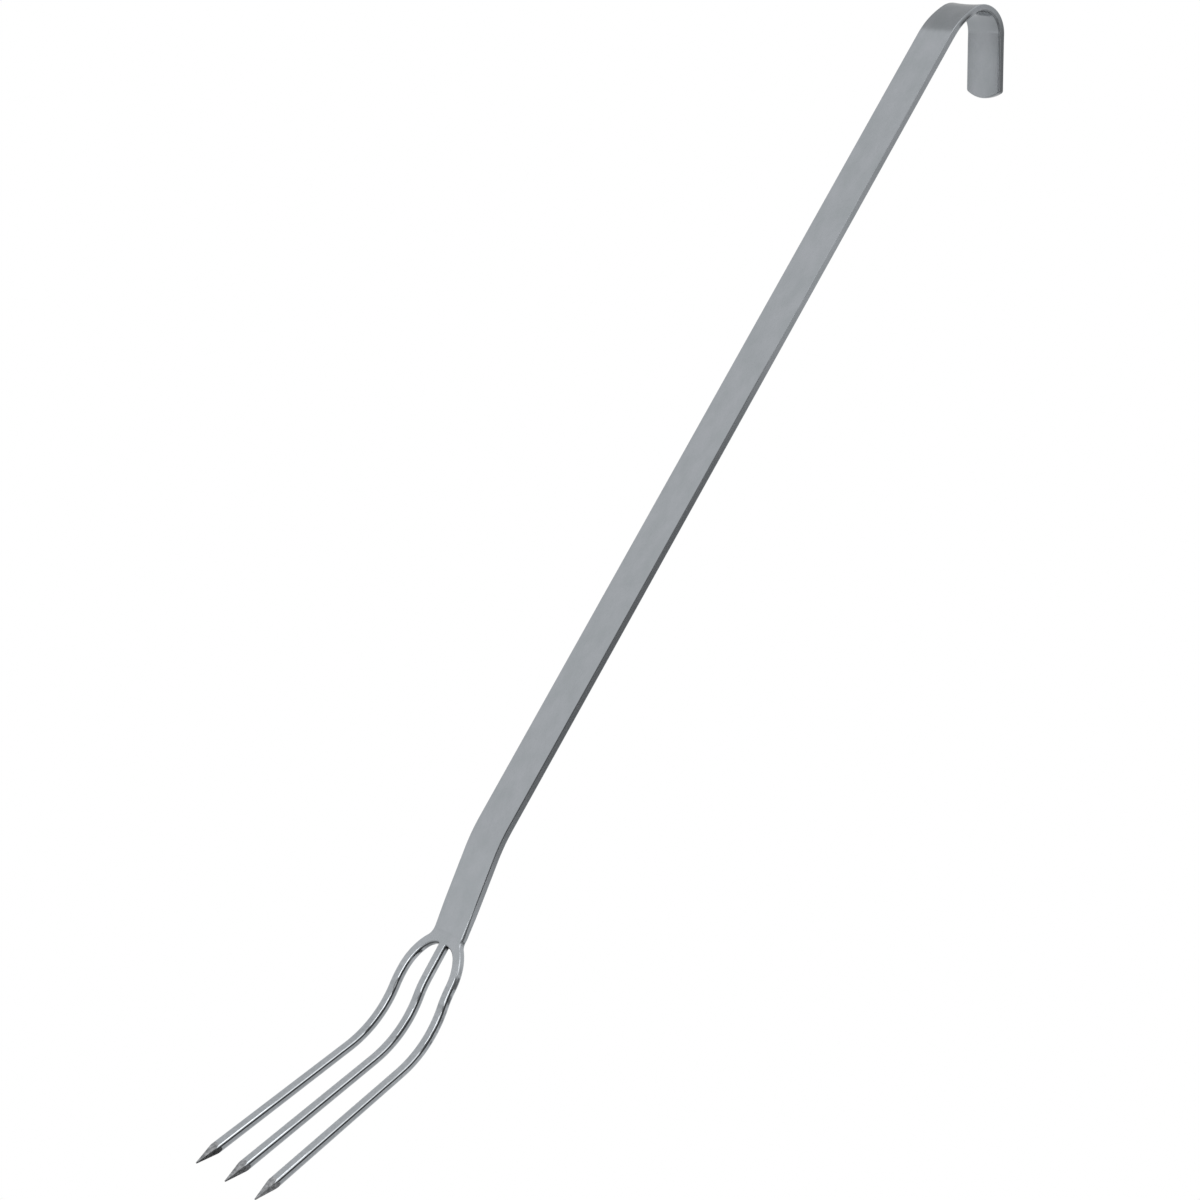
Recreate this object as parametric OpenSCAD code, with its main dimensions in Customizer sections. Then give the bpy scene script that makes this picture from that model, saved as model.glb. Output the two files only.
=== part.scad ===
// Flesh fork: a flat steel bar with a hanging hook, a cranked neck and three bent tines.
// It hangs from its hook: +Z is up along the bar, the front face looks towards -Y, the width lies along X.
// The origin is on the axis of the rail that the hook hangs on.

/* [Bar] */
// Width of the flat bar
bar_w = 20; // [18:0.5:26]
// Thickness of the flat bar
bar_t = 3; // [2.4:0.1:4]
// Length of the straight bar, from the hook's bend to the crank
bar_len = 395; // [250:1:500]
// Radius on the long edges of the bar
edge_r = 0.4; // [0.2:0.1:0.9]

/* [Hook] */
// Inside radius of the seat that takes the rail
seat_r = 10.75; // [7:0.25:14]
// Angle of the round seat
seat_angle = 111; // [110:1:125]
// Inside radius of the easy bend that leads into the seat
lead_r = 33.5; // [20:0.5:45]
// Angle of that easy bend
lead_angle = 30; // [15:0.5:35]
// Length of the straight tail after the seat
tail_len = 28; // [18:0.5:40]
// Radius of the arc across the tail's end
tail_end_r = 19; // [15:0.5:40]

/* [Neck] */
// Angle by which the neck is cranked backwards
crank_angle = 10.5; // [4:0.5:16]
// Radius of the crank at the middle of the thickness
crank_r = 78; // [30:1:90]
// Straight length of the neck
neck_len = 33.5; // [15:0.5:50]
// Angle by which the neck is bent forwards again above the crown
return_angle = 9.6; // [4:0.1:18]
// Radius of that bend at the middle of the thickness
return_r = 12; // [8:0.5:30]

/* [Crown] */
// Depth of the crotches below the shoulders
crotch_depth = 4.9; // [4:0.1:7]
// Shoulder radius where an outer tine leaves the bar's edge
shoulder_r = 4.3; // [3:0.1:6]
// Angle at which the outer tines leave the bar
spread_angle = 46.3; // [40:0.1:52]
// Radius at the middle of an outer tine where it turns back
sweep_r = 21.7; // [19:0.1:27]
// Angle that the outer tines keep to the middle tine
splay_angle = 2.8; // [1:0.1:5]

/* [Tines] */
// Width of a tine
tine_w = 4.8; // [4:0.1:5.2]
// Radius on the edges of a tine
tine_edge_r = 1; // [0.5:0.1:1.1]
// Angle by which the tines bend back
back_angle = 10.6; // [2:0.1:16]
// Radius of the back bend at the middle of the tine
back_r = 45; // [30:1:90]
// Angle by which the tines bend forwards
fore_angle = 39; // [15:0.5:50]
// Radius of the forward bend at the middle of the tine
fore_r = 47.5; // [25:0.5:70]
// Straight length after the forward bend, point included
fore_len = 79; // [50:1:110]
// Length of the ground point
point_len = 11.5; // [6:0.5:20]
// Width left at the very tip
tip_w = 0.4; // [0.2:0.1:0.8]

/* [Hidden] */
$fn = 64;
steel = [0.62, 0.63, 0.65];
half_bar = bar_w / 2;
half_tine = tine_w / 2;

// Radii at the middle of the bar's thickness
seat_mid_r = seat_r + bar_t / 2;
lead_mid_r = lead_r + bar_t / 2;

// The straight bar's middle plane and its upper end, from the seat's axis at the origin
bar_y = -lead_mid_r * (1 - cos(lead_angle)) - seat_mid_r * cos(lead_angle);
bar_top = -(lead_mid_r - seat_mid_r) * sin(lead_angle);

// Crown outline, across and down: the sweep's centre, its end, and the radii of its two edges
shoulder_mid_r = shoulder_r + half_tine;
sweep_x = half_bar + shoulder_r - (shoulder_mid_r + sweep_r) * cos(spread_angle);
sweep_d = (shoulder_mid_r + sweep_r) * sin(spread_angle);
sweep_in_r = sweep_r - half_tine;
sweep_out_r = sweep_r + half_tine;
leg_x = sweep_x + sweep_r * cos(splay_angle);
leg_d = sweep_d - sweep_r * sin(splay_angle);

// The arch over each gap: square to the middle tine at the crotch, tangent to the outer tine's inner edge
arch_dx = half_tine - sweep_x;
arch_dd = sweep_d - crotch_depth;
arch_r = (sweep_in_r * sweep_in_r - arch_dx * arch_dx - arch_dd * arch_dd) / (2 * (sweep_in_r - arch_dd));
arch_d = crotch_depth + arch_r;
arch_turn = atan2(arch_dd - arch_r, arch_dx);

// Points on one arc of the crown's outline, without the first one where another arc ends there
arc_steps = 20;
function arc(x, d, radius, from, to, first = 0) = [
    for (step = [first : arc_steps])
        let (angle = from + (to - from) * step / arc_steps)
        [x + radius * cos(angle), d - radius * sin(angle)]
];

// Right side of the crown's outline: shoulder, outer edge, leg's end, inner edge, arch and the middle leg
crown_side = concat(
    arc(half_bar + shoulder_r, 0, shoulder_r, 180, 180 + spread_angle),
    arc(sweep_x, sweep_d, sweep_out_r, spread_angle, splay_angle, 1),
    arc(sweep_x, sweep_d, sweep_in_r, splay_angle, arch_turn),
    arc(half_tine, arch_d, arch_r, arch_turn, 90, 1),
    [[half_tine, leg_d]]
);
crown_other_side = [
    for (place = [len(crown_side) - 1 : -1 : 0])
        [-crown_side[place][0], crown_side[place][1]]
];

// Section of a strip with rounded edges: width along x, thickness along y
module strip_section(width, edge) {
    square([width - 2 * edge, bar_t], center = true);
    square([width, bar_t - 2 * edge], center = true);
    for (side = [-1, 1], face = [-1, 1])
        translate([side * (width / 2 - edge), face * (bar_t / 2 - edge)])
            circle(r = edge);
}

module bar_section() {
    strip_section(bar_w, edge_r);
}

module tine_section() {
    strip_section(tine_w, tine_edge_r);
}

// Straight run downwards of the section given as a child
module run(length) {
    translate([0, 0, -length])
        linear_extrude(height = length)
            children();
}

// Bend of the section given as a child: a downward strip turns backwards
module bend_back(radius, angle) {
    translate([0, radius, 0])
        rotate([-90, 0, 0])
            rotate([0, 90, 0])
                rotate_extrude(angle = angle)
                    translate([radius, 0])
                        rotate(90)
                            children();
}

module bend_fore(radius, angle) {
    mirror([0, 1, 0])
        bend_back(radius, angle)
            children();
}

// Places what follows a run or a bend
module past_run(length) {
    translate([0, 0, -length])
        children();
}

module past_back(radius, angle) {
    translate([0, radius, 0])
        rotate([angle, 0, 0])
            translate([0, -radius, 0])
                children();
}

module past_fore(radius, angle) {
    translate([0, -radius, 0])
        rotate([-angle, 0, 0])
            translate([0, radius, 0])
                children();
}

// Places along the strip: the hook runs upwards, so its downward runs and bends are mirrored
module at_bar_top() {
    translate([0, bar_y, bar_top])
        children();
}

module at_hook_seat() {
    at_bar_top()
        mirror([0, 0, 1])
            past_back(lead_mid_r, lead_angle)
                children();
}

module at_neck() {
    at_bar_top()
        past_run(bar_len)
            children();
}

module at_neck_strip() {
    at_neck()
        past_back(crank_r, crank_angle)
            children();
}

module at_crown() {
    at_neck_strip()
        past_run(neck_len)
            past_fore(return_r, return_angle)
                children();
}

// Top of a tine: side is -1 for the left one, 0 for the middle one and 1 for the right one
module at_tine(side) {
    at_crown()
        translate([side * leg_x, 0, -leg_d])
            rotate([0, -side * splay_angle, 0])
                children();
}

// Stands an outline drawn across and down in the strip's own plane
module in_strip(thick) {
    rotate([-90, 0, 0])
        linear_extrude(height = thick, center = true)
            children();
}

// Tongue wider than the bar, with the arc of the tail's end
module tail_tongue() {
    reach = half_bar + bar_t;
    translate([-reach, -bar_t])
        square([2 * reach, tail_len - tail_end_r + bar_t]);
    translate([0, tail_len - tail_end_r])
        circle(r = tail_end_r);
}

module handle_bar() {
    color(steel)
        at_bar_top()
            run(bar_len)
                bar_section();
}

// Easy bend that leads from the bar into the seat
module hook_lead() {
    color(steel)
        at_bar_top()
            mirror([0, 0, 1])
                bend_back(lead_mid_r, lead_angle)
                    bar_section();
}

// Round seat that sits on the rail
module hook_seat() {
    color(steel)
        at_hook_seat()
            bend_back(seat_mid_r, seat_angle)
                bar_section();
}

// Straight tail with its rounded end
module hook_tail() {
    color(steel)
        at_hook_seat()
            past_back(seat_mid_r, seat_angle)
                intersection() {
                    run(tail_len + bar_t)
                        bar_section();
                    in_strip(2 * bar_t)
                        tail_tongue();
                }
}

module neck_crank() {
    color(steel)
        at_neck()
            bend_back(crank_r, crank_angle)
                bar_section();
}

module neck_strip() {
    color(steel)
        at_neck_strip()
            run(neck_len)
                bar_section();
}

module neck_return() {
    color(steel)
        at_neck_strip()
            past_run(neck_len)
                bend_fore(return_r, return_angle)
                    bar_section();
}

// Flat between the bar and the tines, with its shoulders, arches and the three legs
module crown() {
    color(steel)
        at_crown()
            in_strip(bar_t)
                polygon(concat(crown_side, crown_other_side));
}

// Wedge that narrows to the tip over the last stretch and is wider than the tine above it
module ground_wedge(width, past_tip) {
    slope = (width - tip_w) / 2 / point_len;
    top = tip_w / 2 + slope * fore_len;
    bottom = tip_w / 2 - slope * past_tip;
    rotate([-90, 0, 0])
        linear_extrude(height = 2 * tine_w, center = true)
            polygon([
                [-top, 0],
                [top, 0],
                [bottom, fore_len + past_tip],
                [-bottom, fore_len + past_tip],
            ]);
}

// A tine's back bend below the crown
module tine_root(side) {
    color(steel)
        at_tine(side)
            bend_back(back_r, back_angle)
                tine_section();
}

// A tine's forward bend
module tine_bend(side) {
    color(steel)
        at_tine(side)
            past_back(back_r, back_angle)
                bend_fore(fore_r, fore_angle)
                    tine_section();
}

// A tine's straight prong, ground on four sides to its point
module tine_prong(side) {
    color(steel)
        at_tine(side)
            past_back(back_r, back_angle)
                past_fore(fore_r, fore_angle)
                    intersection() {
                        run(fore_len + tine_w)
                            tine_section();
                        ground_wedge(tine_w, 0);
                        rotate([0, 0, 90])
                            ground_wedge(bar_t, tip_w);
                    }
}

module left_tine_root() {
    tine_root(-1);
}

module left_tine_bend() {
    tine_bend(-1);
}

module left_tine_prong() {
    tine_prong(-1);
}

module middle_tine_root() {
    tine_root(0);
}

module middle_tine_bend() {
    tine_bend(0);
}

module middle_tine_prong() {
    tine_prong(0);
}

module right_tine_root() {
    tine_root(1);
}

module right_tine_bend() {
    tine_bend(1);
}

module right_tine_prong() {
    tine_prong(1);
}

handle_bar();
hook_lead();
hook_seat();
hook_tail();
neck_crank();
neck_strip();
neck_return();
crown();
left_tine_root();
left_tine_bend();
left_tine_prong();
middle_tine_root();
middle_tine_bend();
middle_tine_prong();
right_tine_root();
right_tine_bend();
right_tine_prong();
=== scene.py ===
"""Flesh fork: its looks, in metres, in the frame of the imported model."""
import math

import bpy
from mathutils import Matrix, Vector


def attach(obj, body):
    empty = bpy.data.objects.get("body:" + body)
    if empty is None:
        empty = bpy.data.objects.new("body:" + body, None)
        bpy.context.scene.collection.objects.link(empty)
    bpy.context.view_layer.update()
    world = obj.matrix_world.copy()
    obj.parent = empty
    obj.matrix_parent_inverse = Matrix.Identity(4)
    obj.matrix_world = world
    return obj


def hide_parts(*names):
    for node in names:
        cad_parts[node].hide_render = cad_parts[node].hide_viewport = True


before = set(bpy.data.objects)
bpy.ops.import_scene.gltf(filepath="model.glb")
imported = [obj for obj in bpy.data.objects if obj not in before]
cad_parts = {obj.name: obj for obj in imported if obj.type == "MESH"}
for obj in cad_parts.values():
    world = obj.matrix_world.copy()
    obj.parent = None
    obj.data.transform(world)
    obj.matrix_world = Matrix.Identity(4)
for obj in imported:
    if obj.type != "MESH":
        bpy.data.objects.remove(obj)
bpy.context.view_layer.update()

MM = 0.001

# Sizes in millimetres and degrees, as in the part's source
BAR_W, BAR_T, BAR_LEN = 20.0, 3.0, 395.0
SEAT_R, SEAT_ANGLE = 10.75, 111.0
LEAD_R, LEAD_ANGLE = 33.5, 30.0
TAIL_LEN, TAIL_END_R = 28.0, 19.0
CRANK_ANGLE, CRANK_R = 10.5, 78.0
NECK_LEN = 33.5
RETURN_ANGLE, RETURN_R = 9.6, 12.0
CROTCH_DEPTH = 4.9
SHOULDER_R = 4.3
SPREAD_ANGLE, SWEEP_R, SPLAY_ANGLE = 46.3, 21.7, 2.8
TINE_W = 4.8
BACK_ANGLE, BACK_R = 10.6, 45.0
FORE_ANGLE, FORE_R = 39.0, 47.5
FORE_LEN, POINT_LEN, TIP_W = 79.0, 11.5, 0.4

HALF_BAR, HALF_T, HALF_TINE = BAR_W / 2, BAR_T / 2, TINE_W / 2
SEAT_MID_R = SEAT_R + HALF_T
LEAD_MID_R = LEAD_R + HALF_T

# Edge radii that show: crisp on the bar, rounder towards the head
BAR_EDGE_R = 0.4
HEAD_EDGE_R = 1.0
CROTCH_FILLET_R = 0.35
TAIL_CORNER_R = 1.5
HOOK_INNER_R = 0.9
# How far above the crown the neck's edges start to grow, and the way over which the hook's inner edges do
NECK_EDGE_LEN, INNER_EDGE_LEN = 14.0, 10.0
# How many times as wide and thick a prong has grown where its point starts
SWELL = 1.09
# How far the strip's middle is drawn in, over the rail and along the tail
SEAT_BOW, TAIL_BOW = 0.1, 0.3
# How far the strip's edges curl up over the rail
SEAT_CURL = 0.35

# Below, a fade is its start and its length, in millimetres unless the line above it says else

# Where the seat's and the tail's shapes fade in, from where each starts
SEAT_FADE, TAIL_FADE = (-6.0, 12.0), (-12.0, 16.0)

# Painted shade: how much the right front edge of the strip is darkened by a dark reflection painted into its
# colour, near the hook and from the bar's middle to the neck
EDGE_PAINTED_SHADE, LOW_EDGE_PAINTED_SHADE = 0.2, 0.55
# Where that painted edge shade fades, from the bar's top: out up the hook, out down the bar, then in and out
# again
LEAD_EDGE_END, UPPER_EDGE_END = (12.0, 8.0), (60.0, 50.0)
LOW_EDGE_START, LOW_EDGE_END = (150.0, 40.0), (424.0, 16.0)
# The across part times the front part of a normal on a rounded edge, which is a half at its middle
ROUNDING = (0.0, 0.25)
# How much the tail's sheared edge is darkened, where that starts from the tail's start, and how it ends with
# the part of the normal that looks into the hook
TAIL_EDGE_DARKENING, TAIL_DARKENING_START, TAIL_DARKENING_TURN = 0.56, (-14.0, 16.0), (0.0, 0.625)
# Painted shade: how much the rims of the tail's inner face are darkened by a darker reflection painted into
# the colour, and from how far across
RIM_PAINTED_SHADE, RIM_START = 0.06, (4.0, 6.0)
# Painted shade in the crook of the hook: how much it is darkened, where from the tail's start, and the share
# of that on its left
CROOK_PAINTED_SHADE, CROOK_START, CROOK_END, CROOK_LEFT = 0.16, (-26.0, 8.0), (1.0, 10.0), 0.4
# Painted shade inside the hook: how much the inner edges are darkened over the rail, where along the hook,
# and how that starts with the part of the normal that looks into it
TOP_PAINTED_SHADE, TOP_START, TOP_END, TOP_TURN = 0.3, (14.0, 6.0), (30.0, 8.0), (0.0, 0.5)
# Painted shade: how much a dark streak over the narrow side is darkened, where it lies on the hook and how
# it ends either way
STREAK_PAINTED_SHADE, STREAK_WAY, STREAK_END = 0.8, 11.0, (2.0, 4.0)
# Where across the thickness that streak starts at the back and ends at the front
STREAK_BACK, STREAK_FRONT = (-1.0, 0.4), (-0.1, 1.0)
# Painted shade: how much the outer half of the tines' front edges is darkened by a dark reflection painted
# into the colour, and over which front part of the normal
TINE_PAINTED_SHADE, TINE_SHADE_START, TINE_SHADE_END = 0.6, (0.0, 0.25), (0.64, 0.2)
# Where the painted shade ends that darkens the crotches
CROTCH_SHADE_END = (0.3, 1.2)

# Steps of the meshes round a section and along each stretch
CORNER_STEPS, FACE_STEPS, TINE_FACE_STEPS = 8, 10, 4
LEAD_STEPS, SEAT_STEPS = 24, 64
TAIL_SIDE_STEPS, TAIL_CORNER_STEPS, TAIL_END_STEPS = 12, 10, 24
BAR_STEPS, CRANK_STEPS, NECK_STEPS, RETURN_STEPS = 60, 14, 24, 8
SHOULDER_STEPS, OUTER_STEPS = 18, 26
INNER_STEPS, ARCH_STEPS, FILLET_STEPS, LEG_STEPS = 22, 22, 8, 12
BACK_STEPS, FORE_STEPS, PRONG_STEPS, POINT_STEPS = 8, 32, 16, 46

# Width of the narrow faces that part a rounded edge from the flat beside it
RIM = 0.06
# Points become one where they agree in steps of this many to the metre
STEPS_PER_METRE = 2e6
# Lengths in millimetres and areas in square metres that count as none
NO_LENGTH, NO_CUT, NO_AREA = 1e-4, 1e-6, 1e-12

# Places of the materials on a piece
STRIP, GROUND = 0, 1

# Heights in metres over which the bar's finish turns into the head's, and over which the head's waves end
HEAD_FINISH, WAVES_END = (-0.452, -0.478), (-0.505, -0.53)
# Values of a noise between which a tint goes from dark to light
TINT_RANGE = (0.32, 0.70)


def smooth(share):
    share = min(max(share, 0.0), 1.0)
    return share * share * (3 - 2 * share)


def fade(value, start, length):
    """0 up to start and 1 from start + length on, smooth between them."""
    return smooth((value - start) / length)


def between(first, second, share):
    return first + (second - first) * share


class Station:
    """A place on the middle line of the strip, with its heading, front and width directions."""

    def __init__(self, place, heading, front, width, way=0.0):
        self.place = place
        self.heading = heading
        self.front = front
        self.width = width
        self.way = way

    def ran(self, length):
        place = self.place + self.heading * length
        return Station(place, self.heading, self.front, self.width, self.way + length)

    def bent(self, radius, angle, side):
        """side is 1 for a bend towards the front and -1 for one towards the back."""
        centre = self.place + self.front * (side * radius)
        cosine, sine = math.cos(angle), math.sin(angle)
        heading = self.heading * cosine + self.front * (side * sine)
        front = self.front * cosine - self.heading * (side * sine)
        place = centre - front * (side * radius)
        return Station(place, heading, front, self.width, self.way + radius * angle)

    def turned(self, across, front, ahead):
        return self.width * across + self.front * front + self.heading * ahead

    def point(self, across, front, ahead):
        return (self.place + self.turned(across, front, ahead)) * MM


def run(start, length, steps):
    return [start.ran(length * i / steps) for i in range(1, steps + 1)]


def bend(start, radius, degrees, side, steps):
    return [start.bent(radius, math.radians(degrees) * i / steps, side) for i in range(1, steps + 1)]


def arc(x, d, radius, start, end, steps, out):
    """Points of (across, down, outward across, outward down). out is 1 where the steel is inside the arc."""
    points = []
    for i in range(steps + 1):
        angle = start + (end - start) * i / steps
        across, down = math.cos(angle), -math.sin(angle)
        points.append((x + radius * across, d + radius * down, out * across, out * down))
    return points


def joined(*parts):
    """Lines end to end, each without its first point where it starts at the last one's end."""
    points = list(parts[0])
    for part in parts[1:]:
        gap = abs(part[0][0] - points[-1][0]) + abs(part[0][1] - points[-1][1])
        points += part[1:] if gap < NO_LENGTH else part
    return points


class Spot:
    """A point of a section: across, to the front and ahead, its normal likewise, and 1 on a rounded edge."""

    def __init__(self, place, normal, edge):
        self.place = place
        self.normal = normal
        self.edge = edge


def section(half_w, half_t, front_r, face_steps, out=(1.0, 0.0), back_r=None):
    """Spots round a strip with rounded edges, anticlockwise from the right front one.

    out is where the right side looks: across, ahead. back_r is the back edges' radius if it isn't front_r.
    """
    across, ahead = out
    if back_r is None:
        back_r = front_r
    ring = []
    for corner, (side, face) in enumerate(((1, 1), (-1, 1), (-1, -1), (1, -1))):
        radius = front_r if face > 0 else back_r
        for i in range(CORNER_STEPS + 1):
            angle = math.radians(90 * corner + 90 * i / CORNER_STEPS)
            outward, forward = abs(math.cos(angle)), math.sin(angle)
            inset = radius * (1 - outward)
            y = face * (half_t - radius) + radius * forward
            place = (side * (half_w - across * inset), y, -ahead * inset)
            ring.append(Spot(place, (side * outward * across, forward, outward * ahead), 1.0))
        if corner % 2 == 0:
            inset = radius + RIM
            inner = half_w - across * inset
            for i in range(face_steps + 1):
                place = (face * inner * (1 - 2 * i / face_steps), face * half_t, -ahead * inset)
                ring.append(Spot(place, (0.0, face, 0.0), 0.0))
        else:
            front, back = half_t - front_r - RIM, back_r + RIM - half_t
            for y in (front, back) if side < 0 else (back, front):
                ring.append(Spot((side * half_w, y, 0.0), (side * across, 0.0, ahead), 0.0))
    return ring


class MeshMaker:
    """Collects points, faces and the normal of each face corner. Points at one place become one."""

    def __init__(self):
        self.points, self.edges, self.grime, self.places = [], [], [], {}
        self.faces, self.normals, self.slots = [], [], []

    def point(self, place, edge, grime):
        key = tuple(round(value * STEPS_PER_METRE) for value in place)
        if key not in self.places:
            self.places[key] = len(self.points)
            self.points.append(place)
            self.edges.append(edge)
            self.grime.append(grime)
        return self.places[key]

    def face(self, corners, normals, slot=STRIP):
        kept = [k for k in range(len(corners)) if corners[k] != corners[k - 1]]
        if len(set(corners)) < 3:
            return
        self.faces.append([corners[k] for k in kept])
        self.normals.append([normals[k] for k in kept])
        self.slots.append(slot)

    def flat(self, corners, normal, slot=STRIP):
        """A flat face, turned so that it looks along normal."""
        area = Vector()
        for k, corner in enumerate(corners):
            area += self.points[corners[k - 1]].cross(self.points[corner])
        if area.length < NO_AREA:
            return
        if area.dot(normal) < 0:
            corners = corners[::-1]
        self.face(corners, [normal] * len(corners), slot)

    def build(self, name, nodes, materials):
        mesh = bpy.data.meshes.new(name)
        mesh.from_pydata([tuple(point) for point in self.points], [], self.faces)
        for material in materials:
            mesh.materials.append(material)
        for polygon, slot in zip(mesh.polygons, self.slots):
            polygon.use_smooth = True
            polygon.material_index = slot
        # The second attribute carries each point's painted shade and other darkening
        for key, values in (("edge", self.edges), ("grime", self.grime)):
            mesh.attributes.new(key, "FLOAT", "POINT").data.foreach_set("value", values)
        corner_normals = [normal for face in self.normals for normal in face]
        mesh.normals_split_custom_set([tuple(normal.normalized()) for normal in corner_normals])
        piece = bpy.data.objects.new(name, mesh)
        bpy.context.scene.collection.objects.link(piece)
        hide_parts(*nodes)
        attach(piece, "root")


def sweep(maker, stations, rings, shade_and_darkening_at, ground_at=None):
    """Skin over the stations, one section each. Both ends are closed.

    The first function gives the painted shade and darkening of a spot, and ground_at the normal of a face
    where it is ground, else None.
    """
    rows, normals = [], []
    for at, ring in zip(stations, rings):
        rows.append([maker.point(at.point(*spot.place), spot.edge, shade_and_darkening_at(at, spot)) for spot in ring])
        normals.append([at.turned(*spot.normal) for spot in ring])
    count = len(rows[0])
    for i in range(len(rows) - 1):
        for j in range(count):
            k = (j + 1) % count
            corners = [rows[i][j], rows[i][k], rows[i + 1][k], rows[i + 1][j]]
            ground_normal = ground_at(i, j, k) if ground_at else None
            if ground_normal is None:
                maker.face(corners, [normals[i][j], normals[i][k], normals[i + 1][k], normals[i + 1][j]])
            else:
                maker.face(corners, [ground_normal] * 4, GROUND)
    for row, normal in ((rows[0], -stations[0].heading), (rows[-1], stations[-1].heading)):
        loop = [row[j] for j in range(count) if row[j] != row[j - 1]]
        maker.flat(loop, normal, GROUND if ground_at and row is rows[-1] else STRIP)


# Materials
def add(tree, kind, values=None, **settings):
    """A shader node with its settings. values gives its sockets a number or another node's output."""
    node = tree.nodes.new("ShaderNode" + kind)
    for key, value in settings.items():
        setattr(node, key, value)
    for key, value in (values or {}).items():
        if isinstance(value, bpy.types.NodeSocket):
            tree.links.new(value, node.inputs[key])
        else:
            node.inputs[key].default_value = value
    return node


def noise(tree, place, waves, detail):
    """Noise over the object, with so many waves to the metre along each axis."""
    spread = add(tree, "Mapping", {"Vector": place, "Scale": waves})
    sockets = {"Vector": spread.outputs["Vector"], "Scale": 1.0, "Detail": detail}
    return add(tree, "TexNoise", sockets).outputs["Fac"]


def span(tree, value, low, high, to_low, to_high):
    sockets = {"Value": value, "From Min": low, "From Max": high, "To Min": to_low, "To Max": to_high}
    return add(tree, "MapRange", sockets).outputs["Result"]


def mix(tree, factor, first, second, kind="FLOAT", **settings):
    sockets = {"Factor": factor, "A": first, "B": second}
    return add(tree, "Mix", sockets, data_type=kind, **settings).outputs["Result"]


def tinted(tree, value, dark, light):
    ramp = add(tree, "ValToRGB", {"Fac": value})
    for element, position, colour in zip(ramp.color_ramp.elements, TINT_RANGE, (dark, light)):
        element.position = position
        element.color = (*colour, 1)
    return ramp.outputs["Color"]


def bump(tree, height, strength, distance, **sockets):
    sockets.update(Height=height, Strength=strength, Distance=distance)
    return add(tree, "Bump", sockets).outputs["Normal"]


def new_metal(name):
    """A metal, its node tree and the place on the object."""
    material = bpy.data.materials.new(name)
    material.use_nodes = True
    tree = material.node_tree
    tree.nodes["Principled BSDF"].inputs["Metallic"].default_value = 1.0
    return material, tree, add(tree, "TexCoord").outputs["Object"]


def connect(tree, colour, rough, normal):
    inputs = tree.nodes["Principled BSDF"].inputs
    tree.links.new(colour, inputs["Base Color"])
    tree.links.new(rough, inputs["Roughness"])
    tree.links.new(normal, inputs["Normal"])


def strip_steel():
    """Satin steel with soft mottle and fine lines along the fork, darkened by the painted shade and other
    darkening that the mesh carries.

    The head is polished and wavy, with brighter edges.
    """
    material, tree, place = new_metal("strip_steel")
    height = add(tree, "SeparateXYZ", {"Vector": place}).outputs["Z"]
    head = span(tree, height, *HEAD_FINISH, 0.0, 1.0)
    on_edge = add(tree, "Attribute", attribute_name="edge").outputs["Fac"]
    # How much painted shade and other darkening the mesh carries
    grime = add(tree, "Attribute", attribute_name="grime").outputs["Fac"]

    mottle = noise(tree, place, (130, 130, 90), 3.0)
    soft = tinted(tree, mottle, dark=(0.316, 0.338, 0.355), light=(0.354, 0.371, 0.394))
    grain = noise(tree, place, (1100, 1100, 800), 2.0)
    speckled = tinted(tree, grain, dark=(0.285, 0.305, 0.320), light=(0.395, 0.412, 0.435))
    grained = mix(tree, span(tree, head, 0.0, 1.0, 0.1, 0.6), soft, speckled, "RGBA")
    head_edge = add(tree, "Math", {0: on_edge, 1: head}, operation="MULTIPLY").outputs[0]
    polished = mix(tree, head_edge, grained, (0.05, 0.05, 0.05, 1), "RGBA", blend_type="ADD")
    # Painted shade: the colour is drawn towards near-black by that amount
    colour = mix(tree, grime, polished, (0.012, 0.012, 0.012, 1), "RGBA")

    lines = noise(tree, place, (1500, 1500, 30), 3.0)
    satin_rough = span(tree, lines, 0.25, 0.75, 0.15, 0.21)
    head_rough = span(tree, mottle, 0.3, 0.7, 0.1, 0.16)
    face_rough = mix(tree, head, satin_rough, head_rough)
    edge_rough = span(tree, head, 0.0, 1.0, 0.3, 0.06)
    rough = mix(tree, on_edge, face_rough, edge_rough)

    fine = bump(tree, lines, 0.02, 0.00005)
    waves = noise(tree, place, (230, 230, 140), 1.0)
    past_waves = span(tree, height, *WAVES_END, 0.0, 1.0)
    wavy = mix(tree, past_waves, span(tree, head, 0.0, 1.0, 0.01, 0.8), 0.04)
    connect(tree, colour, rough, bump(tree, waves, wavy, 0.0004, Normal=fine))
    return material


def ground_steel():
    """Bright steel of the ground points, with grinding lines across them and darker patches."""
    material, tree, place = new_metal("ground_steel")
    patches = noise(tree, place, (700, 700, 700), 3.0)
    colour = tinted(tree, patches, dark=(0.155, 0.160, 0.167), light=(0.375, 0.383, 0.395))
    lines = noise(tree, place, (500, 900, 4200), 2.0)
    rough = span(tree, lines, 0.25, 0.75, 0.2, 0.34)
    connect(tree, colour, rough, bump(tree, lines, 0.15, 0.00005))
    return material


steel, ground = strip_steel(), ground_steel()

# Where the strip's stretches start, as in the part's source
lead_turn = math.radians(LEAD_ANGLE)
bar_y = -LEAD_MID_R * (1 - math.cos(lead_turn)) - SEAT_MID_R * math.cos(lead_turn)
bar_top = -(LEAD_MID_R - SEAT_MID_R) * math.sin(lead_turn)
DOWN, FRONT, RIGHT = Vector((0, 0, -1)), Vector((0, -1, 0)), Vector((1, 0, 0))
top_of_bar = Station(Vector((0, bar_y, bar_top)), DOWN, FRONT, RIGHT)


# Hook: easy lead, round seat and straight tail. It runs up from the bar, so its width looks to the left
def inner_edge_r(way):
    return between(BAR_EDGE_R, HOOK_INNER_R, fade(way, 0.0, INNER_EDGE_LEN))


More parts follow.
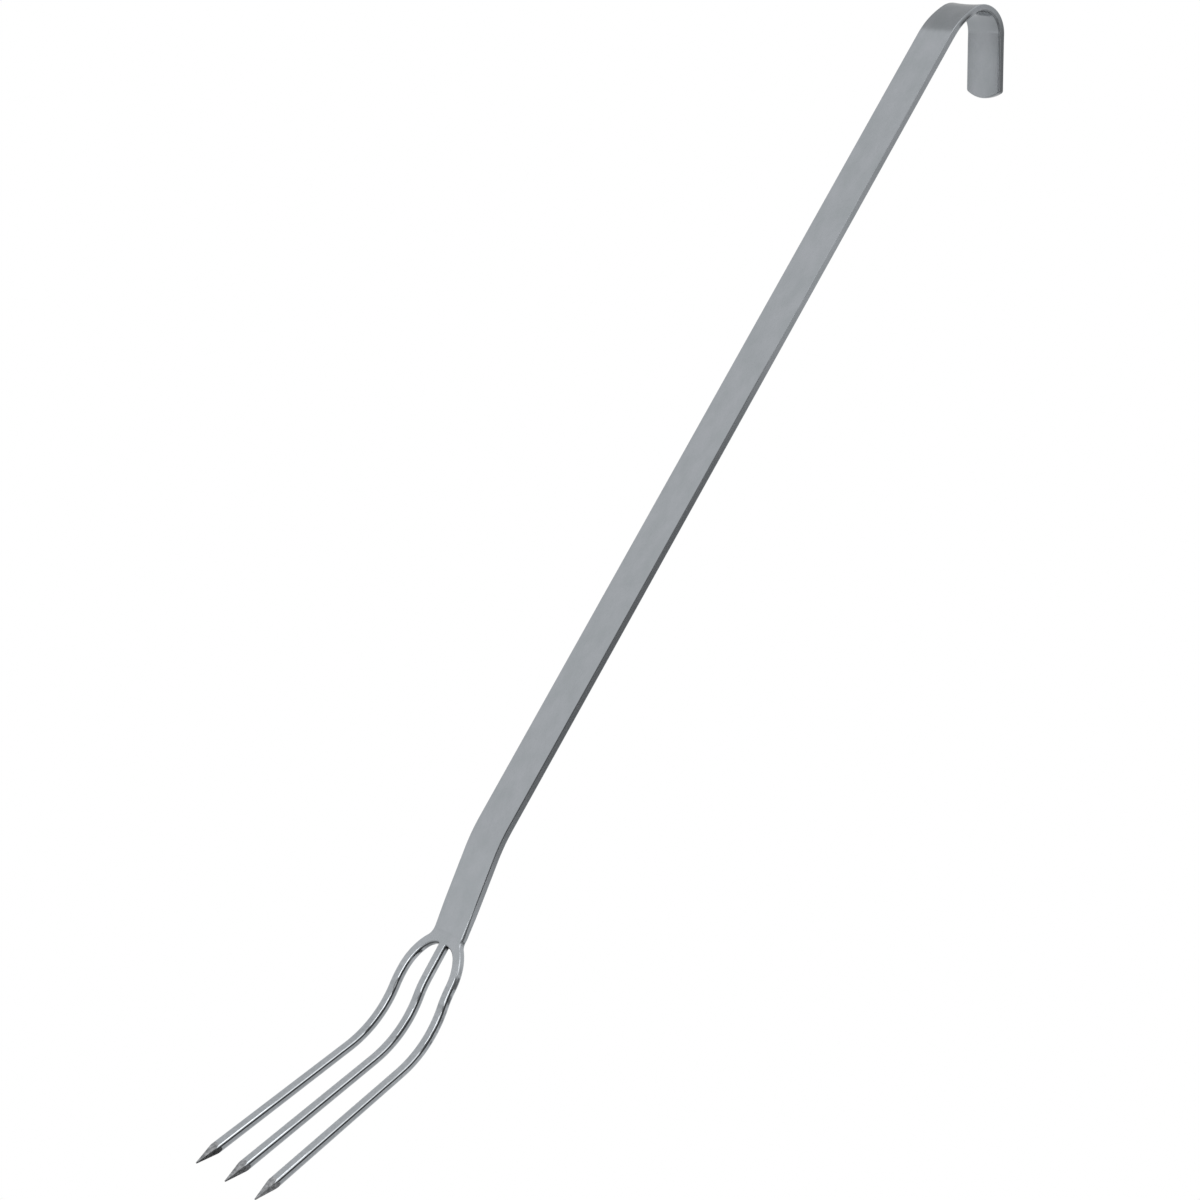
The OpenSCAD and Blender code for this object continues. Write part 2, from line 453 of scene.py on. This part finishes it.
hook_line = [Station(top_of_bar.place, -DOWN, FRONT, -RIGHT)]
hook_line += bend(hook_line[-1], LEAD_MID_R, LEAD_ANGLE, -1, LEAD_STEPS)
seat_from = hook_line[-1].way
hook_line += bend(hook_line[-1], SEAT_MID_R, SEAT_ANGLE, -1, SEAT_STEPS)
tail_start = hook_line[-1]
hook_rings = []
for at in hook_line:
    hook_rings.append(section(HALF_BAR, HALF_T, BAR_EDGE_R, FACE_STEPS, back_r=inner_edge_r(at.way)))

# The tail's end is a broad arc, met by the sides in small round corners
end_centre = TAIL_LEN - TAIL_END_R
corner_x = HALF_BAR - TAIL_CORNER_R
corner_d = end_centre + math.sqrt((TAIL_END_R - TAIL_CORNER_R) ** 2 - corner_x ** 2)
corner_turn = math.atan2(corner_d - end_centre, corner_x)
tail_edge = joined(
    [(HALF_BAR, corner_d * i / TAIL_SIDE_STEPS, 1.0, 0.0) for i in range(1, TAIL_SIDE_STEPS)],
    arc(corner_x, corner_d, TAIL_CORNER_R, 0.0, -corner_turn, TAIL_CORNER_STEPS, 1),
    arc(0.0, end_centre, TAIL_END_R, -corner_turn, -math.pi / 2, TAIL_END_STEPS, 1),
)
for x, d, out_x, out_d in tail_edge:
    hook_line.append(tail_start.ran(d))
    hook_rings.append(section(x, HALF_T, BAR_EDGE_R, FACE_STEPS, (out_x, out_d), HOOK_INNER_R))


def bowed(ring, bow, curl):
    """The section with its middle drawn towards the back and its edges curled to the front."""
    spots = []
    for spot in ring:
        across, front, ahead = spot.place
        normal_across, normal_front, normal_ahead = spot.normal
        lean = 2 * (bow + curl) * across / HALF_BAR ** 2
        place = (across, front - bow + (bow + curl) * (across / HALF_BAR) ** 2, ahead)
        normal = (normal_across - lean * normal_front, normal_front, normal_ahead)
        spots.append(Spot(place, normal, spot.edge))
    return spots


def hook_shape(way):
    """How far the middle is drawn in and the edges curl, this way along the hook."""
    on_seat = fade(way - seat_from, *SEAT_FADE)
    on_tail = fade(way - tail_start.way, *TAIL_FADE)
    return SEAT_BOW * on_seat + (TAIL_BOW - SEAT_BOW) * on_tail, SEAT_CURL * (on_seat - on_tail)


def right_front_edge(spot, right):
    """1 on the rounding of the right front edge, else 0. right is the sign of the right side across."""
    across, front, _ = spot.normal
    return spot.edge * fade(max(right * across, 0.0) * max(front, 0.0), *ROUNDING)


def hook_shade_and_darkening(at, spot):
    """Darkening of the tail's sheared edge, and painted shade on the rims of its inner face, the crook and
    the inner edges.

    Painted shade also darkens the start of the right front edge and a streak over the lead's narrow side.
    """
    across, front, _ = spot.place
    inside = max(-spot.normal[1], 0.0)
    past = at.way - tail_start.way
    on_tail = fade(past, *TAIL_DARKENING_START)
    sheared = TAIL_EDGE_DARKENING * on_tail * (1 - spot.normal[1] ** 2) * (1 - fade(inside, *TAIL_DARKENING_TURN))

    rims = RIM_PAINTED_SHADE * on_tail * fade(abs(across), *RIM_START)
    in_crook = fade(past, *CROOK_START) * (1 - fade(past, *CROOK_END))
    to_right = 1 - fade(across, -HALF_BAR, BAR_W)
    crook = CROOK_PAINTED_SHADE * in_crook * between(CROOK_LEFT, 1.0, to_right)

    on_top = fade(at.way, *TOP_START) * (1 - fade(at.way, *TOP_END))
    top_edges = TOP_PAINTED_SHADE * on_top * fade(inside, *TOP_TURN) * spot.edge
    # Painted shade on the start of the right front edge, a dark reflection painted into the colour
    lead_edge = EDGE_PAINTED_SHADE * right_front_edge(spot, -1) * (1 - fade(at.way, *LEAD_EDGE_END))

    along_streak = 1 - fade(abs(at.way - STREAK_WAY), *STREAK_END)
    across_streak = fade(front, *STREAK_BACK) * (1 - fade(front, *STREAK_FRONT))
    streak = STREAK_PAINTED_SHADE * along_streak * across_streak * (1 - inside)
    return max(sheared + top_edges + smooth(inside) * (rims + crook) + lead_edge, streak)


hook = MeshMaker()
hook_rings = [bowed(ring, *hook_shape(at.way)) for at, ring in zip(hook_line, hook_rings)]
sweep(hook, hook_line, hook_rings, hook_shade_and_darkening)
hook.build("hook", ["hook_lead", "hook_seat", "hook_tail"], [steel])


# Straight bar
def bar_painted_shade(at, spot):
    """Painted shade: a dark reflection painted on the right front edge near the hook, and again from the
    bar's middle to the neck.
    """
    upper = 1 - fade(at.way, *UPPER_EDGE_END)
    lower = fade(at.way, *LOW_EDGE_START) * (1 - fade(at.way, *LOW_EDGE_END))
    return right_front_edge(spot, 1) * (EDGE_PAINTED_SHADE * upper + LOW_EDGE_PAINTED_SHADE * lower)


bar_line = [top_of_bar] + run(top_of_bar, BAR_LEN, BAR_STEPS)
bar_ring = section(HALF_BAR, HALF_T, BAR_EDGE_R, FACE_STEPS)
bar = MeshMaker()
sweep(bar, bar_line, [bar_ring] * len(bar_line), bar_painted_shade)
bar.build("bar", ["handle_bar"], [steel])

# Neck: crank, straight and return, with edges that grow rounder downwards
neck_line = [bar_line[-1]]
neck_line += bend(neck_line[-1], CRANK_R, CRANK_ANGLE, -1, CRANK_STEPS)
neck_line += run(neck_line[-1], NECK_LEN, NECK_STEPS)
neck_line += bend(neck_line[-1], RETURN_R, RETURN_ANGLE, 1, RETURN_STEPS)
crown_top = neck_line[-1]


def neck_ring(at):
    grown = fade(at.way - crown_top.way, -NECK_EDGE_LEN, NECK_EDGE_LEN)
    return section(HALF_BAR, HALF_T, between(BAR_EDGE_R, HEAD_EDGE_R, grown), FACE_STEPS)


neck = MeshMaker()
sweep(neck, neck_line, [neck_ring(at) for at in neck_line], bar_painted_shade)
neck.build("neck", ["neck_crank", "neck_strip", "neck_return"], [steel])

# Crown: outline across and down, in arcs
spread, splay = math.radians(SPREAD_ANGLE), math.radians(SPLAY_ANGLE)
shoulder_mid_r = SHOULDER_R + HALF_TINE
sweep_x = HALF_BAR + SHOULDER_R - (shoulder_mid_r + SWEEP_R) * math.cos(spread)
sweep_d = (shoulder_mid_r + SWEEP_R) * math.sin(spread)
sweep_in_r, sweep_out_r = SWEEP_R - HALF_TINE, SWEEP_R + HALF_TINE
leg_x = sweep_x + SWEEP_R * math.cos(splay)
leg_d = sweep_d - SWEEP_R * math.sin(splay)
arch_dx, arch_dd = HALF_TINE - sweep_x, sweep_d - CROTCH_DEPTH
arch_r = (sweep_in_r ** 2 - arch_dx ** 2 - arch_dd ** 2) / (2 * (sweep_in_r - arch_dd))
arch_d = CROTCH_DEPTH + arch_r
arch_turn = math.atan2(arch_dd - arch_r, arch_dx)
outer_edge = joined(
    arc(HALF_BAR + SHOULDER_R, 0, SHOULDER_R, math.pi, math.pi + spread, SHOULDER_STEPS, -1),
    arc(sweep_x, sweep_d, sweep_out_r, spread, splay, OUTER_STEPS, 1),
)

# The crotch has a small fillet between the arch and the middle leg
fillet_x = HALF_TINE + CROTCH_FILLET_R
fillet_gap = arch_r - CROTCH_FILLET_R
fillet_turn = math.acos(CROTCH_FILLET_R / fillet_gap)
fillet_d = arch_d - fillet_gap * math.sin(fillet_turn)
middle_leg = []
for i in range(LEG_STEPS + 1):
    middle_leg.append((HALF_TINE, fillet_d + (leg_d - fillet_d) * i / LEG_STEPS, 1.0, 0.0))
inner_edge = joined(
    arc(sweep_x, sweep_d, sweep_in_r, splay, arch_turn, INNER_STEPS, -1),
    arc(HALF_TINE, arch_d, arch_r, arch_turn, fillet_turn, ARCH_STEPS, -1),
    arc(fillet_x, fillet_d, CROTCH_FILLET_R, fillet_turn, math.pi, FILLET_STEPS, -1),
    middle_leg,
)

# Profile of its rounded edges from front to back: inset, height over the middle, and where the normal looks
edge_profile = []
for i in range(CORNER_STEPS + 1):
    angle = math.radians(90 - 90 * i / CORNER_STEPS)
    inset = HEAD_EDGE_R * (1 - math.cos(angle))
    edge_profile.append((inset, HALF_T - HEAD_EDGE_R + HEAD_EDGE_R * math.sin(angle), angle))
edge_profile += [(inset, -height, -angle) for inset, height, angle in reversed(edge_profile)]


def mirrored(edge):
    return [(-x, d, -out_x, out_d) for x, d, out_x, out_d in reversed(edge)]


def tine_painted_shade(front):
    """Painted shade, a dark reflection, on the outer half of a front edge. front is how far its normal looks
    to the front.
    """
    return TINE_PAINTED_SHADE * fade(front, *TINE_SHADE_START) * (1 - fade(front, *TINE_SHADE_END))


def crown_skin(maker, edge, is_inner):
    """Skin round the profile along one edge, in rows of points with their normals. Painted shade darkens the
    crotches and the inner edges.
    """
    skin = []
    for x, d, out_x, out_d in edge:
        # Painted shade that darkens the crotches, most on the side walls
        from_crotch = math.hypot(abs(x) - fillet_x, d - fillet_d)
        crotch_shade = 1 - fade(from_crotch, *CROTCH_SHADE_END)
        row = []
        for inset, height, angle in edge_profile:
            outward, front = math.cos(angle), math.sin(angle)
            place = crown_top.point(x - out_x * inset, height, d - out_d * inset)
            normal = crown_top.turned(out_x * outward, front, out_d * outward)
            # On inner edges, the tines' painted shade, a dark reflection
            inner_edge_shade = tine_painted_shade(front) if is_inner else 0.0
            row.append((maker.point(place, 1.0, max(crotch_shade * outward ** 2, inner_edge_shade)), normal))
        skin.append(row)
    for first, second in zip(skin, skin[1:]):
        for k in range(len(edge_profile) - 1):
            four = (first[k], second[k], second[k + 1], first[k + 1])
            maker.face([corner for corner, _ in four], [normal for _, normal in four])
    return skin


crown = MeshMaker()
# Right to left, each with whether it is an inner edge
crown_edges = (
    (outer_edge, False),
    (inner_edge, True),
    (mirrored(inner_edge), True),
    (mirrored(outer_edge), False),
)
skins = [crown_skin(crown, edge, is_inner) for edge, is_inner in crown_edges]
crown.flat([row[0][0] for skin in skins for row in skin], crown_top.front)
crown.flat([row[-1][0] for skin in skins for row in skin], -crown_top.front)
# The feet of the right, middle and left legs look down, and the top looks up
for n, skin in enumerate(skins):
    end_row, start_row = skin[-1], skins[(n + 1) % len(skins)][0]
    towards = -crown_top.heading if n == len(skins) - 1 else crown_top.heading
    crown.flat([corner for corner, _ in end_row] + [corner for corner, _ in reversed(start_row)], towards)
crown.build("crown", ["crown"], [steel])

# Tines: back bend, forward bend, straight prong that swells a little, point ground on four sides
point_slope_x = (SWELL * TINE_W - TIP_W) / 2 / POINT_LEN
point_slope_y = (SWELL * BAR_T - TIP_W) / 2 / POINT_LEN


def tine_section(times):
    return section(HALF_TINE * times, HALF_T * times, HEAD_EDGE_R * times, TINE_FACE_STEPS)


def point_ring(left):
    """Section this far above the tip, cut by the ground faces, and which pair of them cuts each spot."""
    reach_x = TIP_W / 2 + point_slope_x * left
    reach_y = TIP_W / 2 + point_slope_y * left
    ring, cuts = [], []
    for spot in tine_section(SWELL):
        x, y, ahead = spot.place
        cuts.append((abs(x) >= reach_x - NO_CUT, abs(y) >= reach_y - NO_CUT))
        place = (min(max(x, -reach_x), reach_x), min(max(y, -reach_y), reach_y), ahead)
        ring.append(Spot(place, spot.normal, spot.edge))
    return ring, cuts


def tine(name, side):
    """side is -1 for the left tine, 0 for the middle one and 1 for the right one."""
    turn = math.radians(side * SPLAY_ANGLE)
    place = crown_top.place + crown_top.width * (side * leg_x) + crown_top.heading * leg_d
    heading = crown_top.heading * math.cos(turn) + crown_top.width * math.sin(turn)
    width = crown_top.width * math.cos(turn) - crown_top.heading * math.sin(turn)
    line = [Station(place, heading, crown_top.front, width)]
    line += bend(line[-1], BACK_R, BACK_ANGLE, -1, BACK_STEPS)
    line += bend(line[-1], FORE_R, FORE_ANGLE, 1, FORE_STEPS)
    prong_from = line[-1].way
    line += run(line[-1], FORE_LEN - POINT_LEN, PRONG_STEPS)
    whole = len(line) - 1
    point_start = line[-1]
    line += run(point_start, POINT_LEN, POINT_STEPS)
    rings, cuts = [], [None] * whole
    for at in line[:whole]:
        grown = max(at.way - prong_from, 0) / (point_start.way - prong_from)
        rings.append(tine_section(between(1, SWELL, grown)))
    for at in line[whole:]:
        ring, cut = point_ring(POINT_LEN - (at.way - point_start.way))
        rings.append(ring)
        cuts.append(cut)

    # Painted shade on the tines' front edges, a dark reflection painted into the colour
    def shade_and_darkening_at(_, spot):
        return spot.edge * tine_painted_shade(spot.normal[1])

    def ground_at(i, j, k):
        if i < whole:
            return None
        four = [cuts[i][j], cuts[i][k], cuts[i + 1][j], cuts[i + 1][k]]
        across, front, _ = rings[i + 1][j].place
        if all(cut[0] for cut in four):
            return line[i].turned(math.copysign(1, across), 0, point_slope_x)
        if all(cut[1] for cut in four):
            return line[i].turned(0, math.copysign(1, front), point_slope_y)
        return None

    maker = MeshMaker()
    sweep(maker, line, rings, shade_and_darkening_at, ground_at)
    maker.build(name, [f"{name}_root", f"{name}_bend", f"{name}_prong"], [steel, ground])


tine("left_tine", -1)
tine("middle_tine", 0)
tine("right_tine", 1)


# Studio: pale floor under the hanging fork, white world, one soft lamp, and cards that the steel mirrors
def sheet(name, corners, shade, glow=0.0):
    mesh = bpy.data.meshes.new(name)
    mesh.from_pydata(corners, [], [list(range(len(corners)))])
    thing = bpy.data.objects.new(name, mesh)
    bpy.context.scene.collection.objects.link(thing)
    material = bpy.data.materials.new(name)
    material.use_nodes = True
    inputs = material.node_tree.nodes["Principled BSDF"].inputs
    inputs["Base Color"].default_value = (shade, shade, shade, 1)
    inputs["Roughness"].default_value = 0.9
    inputs["Specular IOR Level"].default_value = 0.0
    inputs["Emission Color"].default_value = (glow, glow, glow, 1)
    inputs["Emission Strength"].default_value = 1.0 if glow else 0.0
    mesh.materials.append(material)
    return thing


FLOOR_Z, FLOOR_R, FLOOR_SIDES, FLOOR_SHADE = -0.80, 1.8, 96, 0.85
# How far over the floor the cards lie that it carries
PATCH_LIFT = 0.005
turns = [2 * math.pi * i / FLOOR_SIDES for i in range(FLOOR_SIDES)]
sheet("floor", [(FLOOR_R * math.cos(a), FLOOR_R * math.sin(a), FLOOR_Z) for a in turns], FLOOR_SHADE)

world = bpy.data.worlds.new("studio")
bpy.context.scene.world = world
world.use_nodes = True
world.node_tree.nodes["Background"].inputs["Color"].default_value = (1, 1, 1, 1)
world.node_tree.nodes["Background"].inputs["Strength"].default_value = 1.0

LAMP_PLACE, LAMP_AIM = Vector((1.94, -5.18, 3.81)), Vector((0.0, -0.03, -0.55))
lamp_data = bpy.data.lights.new("key", "AREA")
lamp_data.shape = "RECTANGLE"
lamp_data.size = 5.5
lamp_data.size_y = 2.9
lamp_data.energy = 62.0
lamp = bpy.data.objects.new("key", lamp_data)
bpy.context.scene.collection.objects.link(lamp)
lamp_turn = (LAMP_AIM - LAMP_PLACE).to_track_quat("-Z", "Y").to_matrix().to_4x4()
lamp.matrix_world = Matrix.Translation(LAMP_PLACE) @ lamp_turn


def card(name, corners, level):
    """A card of this brightness, which only the steel mirrors: it keeps no light from the floor."""
    thing = sheet(name, corners, 0.0, level)
    thing.visible_camera = False
    thing.visible_diffuse = False
    thing.visible_shadow = False


def wall(start, end, low, high):
    """Corners of an upright card over a line on the plan."""
    return [(*start, low), (*end, low), (*end, high), (*start, high)]


def patch(low, high):
    """Corners of a card that lies just over the floor."""
    z = FLOOR_Z + PATCH_LIFT
    return [(low[0], low[1], z), (high[0], low[1], z), (high[0], high[1], z), (low[0], high[1], z)]


# Lines on the plan that several cards stand on, and the foot of those that start under the floor
BACK_RIGHT = (0.79, 1.20), (1.35, 0.50)
NEAR_FRONT = (0.06, -0.945), (0.32, -0.94)
LOW = -0.85
room_corners = [
    (0.84, -0.575, LOW), (0.866, 0.47, LOW), (0.866, 0.47, -0.28), (0.853, -0.05, -0.05),
    (0.84, -0.575, 0.30),
]
left_corners = [
    (-0.9, -0.85, 0.6), (-0.9, 0.1, 0.5), (-0.9, 1.2, 0.35), (-0.9, 1.2, 1.2), (-0.9, -0.85, 1.2),
]
# Each card's name, corners and brightness
cards = (
    ("side_card", wall(*BACK_RIGHT, -0.305, 0.19), 0.28),
    ("middle_card", wall(*BACK_RIGHT, 0.19, 0.30), 0.75),
    ("upper_card", wall(*BACK_RIGHT, 0.37, 0.50), 0.62),
    ("hook_card", wall(*BACK_RIGHT, 0.50, 0.97), 0.72),
    ("room_card", room_corners, 0.22),
    ("glint_card", wall(*NEAR_FRONT, -0.67, -0.45), 3.0),
    ("close_card", wall((-0.06, -0.135), (-0.015, -0.135), -0.505, -0.455), 4.0),
    ("low_card", wall(*NEAR_FRONT, LOW, -0.67), 0.35),
    ("high_card", wall(*NEAR_FRONT, -0.40, -0.10), 0.35),
    ("front_card", wall((0.32, -0.94), (0.50, -0.94), LOW, -0.10), 0.35),
    ("corner_card", wall((0.50, -0.94), (0.84, -0.575), LOW, -0.10), 0.3),
    ("tine_card", wall(*BACK_RIGHT, LOW, -0.40), 0.8),
    ("arch_patch", patch((-0.52, -0.30), (0.10, 0.36)), 0.5),
    ("arch_patch_2", patch((0.10, -0.45), (0.50, 0.02)), 0.2),
    ("left_card", left_corners, 0.6),
    ("neck_card", wall((-0.52, -0.302), (-0.355, -0.50), -0.60, -0.485), 1.06),
    ("tip_patch", patch((0.18, 0.02), (0.62, 0.36)), 0.02),
    ("near_patch", patch((-0.83, -1.15), (-0.20, -0.72)), 0.3),
    ("near_patch_2", patch((-0.83, -0.72), (-0.20, -0.62)), 0.6),
    ("near_patch_3", patch((-0.83, -0.62), (-0.20, -0.52)), 0.83),
    ("far_patch", patch((-1.75, -1.15), (-1.39, 0.60)), 0.5),
)
for name, corners, level in cards:
    card(name, corners, level)

# Camera of the photograph
CAMERA_PLACE = Vector((0.951072, -0.814037, -0.539809))
camera_data = bpy.data.cameras.new("camera")
camera_data.sensor_width = 36.0
camera_data.lens = 90.508
camera_data.clip_end = 30.0
camera = bpy.data.objects.new("camera", camera_data)
bpy.context.scene.collection.objects.link(camera)
right = Vector((0.627421, 0.613256, 0.479854)).normalized()
ahead = Vector((-0.756095, 0.627139, 0.187127)).normalized()
up = right.cross(ahead).normalized()
right = ahead.cross(up).normalized()
axes = Matrix((right, up, -ahead)).transposed().to_4x4()
camera.matrix_world = Matrix.Translation(CAMERA_PLACE) @ axes
bpy.context.scene.camera = camera
bpy.context.scene.view_settings.view_transform = "Standard"

bpy.context.view_layer.update()
